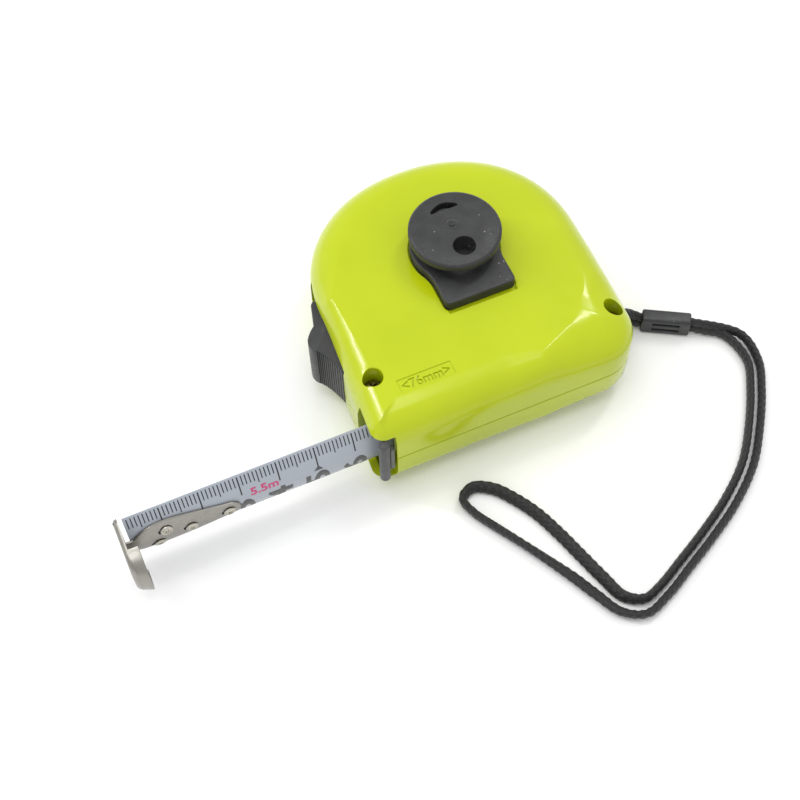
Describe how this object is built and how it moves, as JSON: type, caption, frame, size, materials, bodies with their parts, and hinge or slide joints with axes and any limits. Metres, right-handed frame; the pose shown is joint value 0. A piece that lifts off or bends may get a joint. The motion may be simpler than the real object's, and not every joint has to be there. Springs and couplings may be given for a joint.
{
  "type": "tape measure",
  "caption": "Pocket tape measure with a rounded case, lock button, belt-holder stud, curved steel blade, riveted end hook, sprung reel and wrist strap, lying on its side.",
  "frame": {"origin": "where the reel's axis meets the side face that the tape lies on", "axes": "+Z along the reel's axis, up from the resting side; +X from the mouth to the back of the case, so the blade is drawn out along -X; the foot faces -Y"},
  "size_m": [0.1753, 0.1353, 0.0382],
  "materials": {
    "case": "smooth glossy lime-green plastic",
    "stud_plastic": "fine matte moulded plastic, dark grey",
    "lock_plastic": "satin black plastic",
    "bumper_rubber": "soft dark grey rubber",
    "grey_plastic": "matte grey plastic",
    "reel_plastic": "natural white plastic",
    "blade_steel": "satin grey-blue lacquer with a black scale",
    "hook_steel": "fine brushed stainless steel",
    "rivet_steel": "turned steel",
    "spring_steel": "blued spring steel",
    "screw": "yellow-passivated steel",
    "strap_cord": "braided black cord"
  },
  "bodies": {
    "case": {"case_shell_upper": "case", "case_shell_lower": "case", "case_screw_front": "screw", "case_screw_rear": "screw", "stud_plate": "stud_plastic", "stud_neck": "stud_plastic", "stud_disc": "stud_plastic", "mouth_bumper": "bumper_rubber", "bumper_block": "grey_plastic", "reel_axle": "rivet_steel", "strap_ferrule": "lock_plastic", "strap_loop": "strap_cord", "strap_anchor": "strap_cord"},
    "blade_strip": {"blade": "blade_steel", "rivet_pair_upper": "rivet_steel", "rivet_pair_lower": "rivet_steel", "rivet_middle": "rivet_steel", "rivet_tail": "rivet_steel"},
    "hook": {"end_hook": "hook_steel"},
    "reel": {"reel_drum": "reel_plastic", "reel_cover": "reel_plastic", "return_spring": "spring_steel", "blade_coil": "blade_steel"},
    "lock": {"lock_button": "lock_plastic"},
    "brake": {"brake_shoe": "grey_plastic"}
  },
  "joints": [
    {"name": "blade_slide", "type": "slide", "parent": "case", "child": "blade_strip", "axis": [1, 0, 0], "range_m": [0, 0.0595]},
    {"name": "hook_slide", "type": "slide", "parent": "blade_strip", "child": "hook", "axis": [1, 0, 0], "range_m": [0, 0.001]},
    {"name": "reel_spin", "type": "hinge", "parent": "case", "child": "reel", "pos_m": [0, 0, 0.01475], "axis": [0, 0, 1], "range_deg": [0, 145]},
    {"name": "lock_slide", "type": "slide", "parent": "case", "child": "lock", "axis": [0, 1, 0], "range_m": [0, 0.005]},
    {"name": "brake_lift", "type": "slide", "parent": "case", "child": "brake", "axis": [0, 1, 0], "range_m": [0, 0.0015]}
  ],
  "couplings": [
    {"joint": "reel_spin", "follows": "blade_slide", "rad_per_m": 40.8},
    {"joint": "brake_lift", "follows": "lock_slide", "ratio": 0.3}
  ]
}
